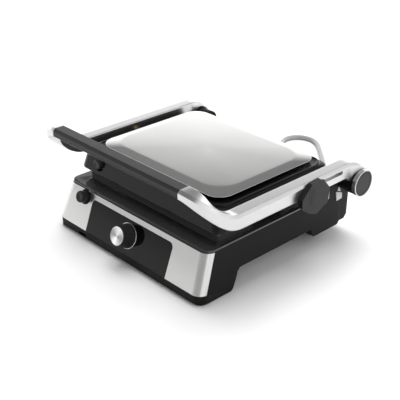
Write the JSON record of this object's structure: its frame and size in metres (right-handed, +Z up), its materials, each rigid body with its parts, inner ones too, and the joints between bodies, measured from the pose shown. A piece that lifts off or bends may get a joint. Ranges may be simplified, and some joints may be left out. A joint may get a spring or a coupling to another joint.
{
  "type": "panini press",
  "caption": "Contact grill with a ribbed lower plate, a floating lid on a swing-over loop handle, knob, release buttons and drip tray.",
  "frame": {"origin": "on the table, under the middle of the press without its mains lead", "axes": "+X to the press's right-hand side, +Y to its back, +Z up"},
  "size_m": [0.406, 0.5996, 0.1845],
  "materials": {
    "black_plastic": "fine moulded texture",
    "grey_plastic": "fine moulded texture",
    "gloss_black": "high gloss",
    "brushed_steel": "brushed across",
    "satin_aluminium": "satin",
    "chrome": "polished",
    "plain_steel": "plain sheet and bar",
    "brass": "turned",
    "nonstick": "cast, with a satin non-stick coating",
    "rubber": "matt",
    "cord_grey": "satin lead sheath",
    "ceramic": "unglazed"
  },
  "bodies": {
    "base": {"base_housing": "black_plastic", "base_bottom_cover": "plain_steel", "base_deck": "grey_plastic", "front_fascia": "brushed_steel", "control_panel": "gloss_black", "knob_ring": "chrome", "thermostat": "ceramic", "lower_plate": "nonstick", "lower_heater": "plain_steel", "lower_reflector": "plain_steel", "lower_plate_clips": "plain_steel", "grease_chute": "plain_steel", "terminal_block": "ceramic", "lower_button_collar": "black_plastic", "lower_button_spring": "plain_steel", "rubber_feet": "rubber", "base_screws": "plain_steel", "hinge_pins": "plain_steel", "cord_gland": "black_plastic", "cord_run": "cord_grey", "cord_coil": "cord_grey", "cord_tail": "cord_grey", "cord_tie": "black_plastic", "mains_plug": "cord_grey", "plug_pins": "chrome"},
    "knob": {"knob_body": "black_plastic", "knob_shaft": "brass", "knob_cap": "satin_aluminium"},
    "lower_button": {"lower_release_button": "grey_plastic"},
    "tray": {"drip_tray": "black_plastic"},
    "handle": {"arm_right": "satin_aluminium", "arm_left": "satin_aluminium", "hinge_hubs": "black_plastic", "hinge_caps": "chrome", "hinge_discs": "grey_plastic", "grip": "grey_plastic", "grip_underside": "black_plastic", "grip_crossbar": "plain_steel", "grip_screws": "plain_steel", "lid_pivot_pins": "plain_steel"},
    "slider": {"lock_slider": "black_plastic"},
    "lid": {"lid_frame": "black_plastic", "top_cover": "brushed_steel", "upper_plate": "nonstick", "upper_heater": "plain_steel", "upper_reflector": "plain_steel", "upper_plate_clips": "plain_steel", "pivot_bushes": "brass", "lid_screws": "plain_steel", "upper_button_spring": "plain_steel"},
    "upper_button": {"upper_release_button": "grey_plastic"}
  },
  "joints": [
    {"name": "handle_hinge", "type": "hinge", "parent": "base", "child": "handle", "pos_m": [0, 0.1615, 0.1], "axis": [-1, 0, 0], "range_deg": [0, 180]},
    {"name": "lid_float", "type": "hinge", "parent": "handle", "child": "lid", "pos_m": [0, 0.007, 0.12], "axis": [1, 0, 0], "range_deg": [-2.5, 2.5]},
    {"name": "lock_slide", "type": "slide", "parent": "handle", "child": "slider", "axis": [0, 1, 0], "range_m": [0, 0.038]},
    {"name": "knob_turn", "type": "hinge", "parent": "base", "child": "knob", "pos_m": [0, -0.15781, 0.044], "axis": [0, -0.9397, 0.342], "range_deg": [0, 270]},
    {"name": "lower_button_push", "type": "slide", "parent": "base", "child": "lower_button", "axis": [0, 0.9397, -0.342], "range_m": [0, 0.003], "stiffness_N_per_m": 400, "springref_m": -0.002, "deforming": ["lower_button_spring"]},
    {"name": "upper_button_push", "type": "slide", "parent": "lid", "child": "upper_button", "axis": [0, 1, 0], "range_m": [0, 0.003], "stiffness_N_per_m": 400, "springref_m": -0.002, "deforming": ["upper_button_spring"]},
    {"name": "tray_slide", "type": "slide", "parent": "base", "child": "tray", "axis": [-1, 0, 0], "range_m": [0, 0.24]}
  ]
}
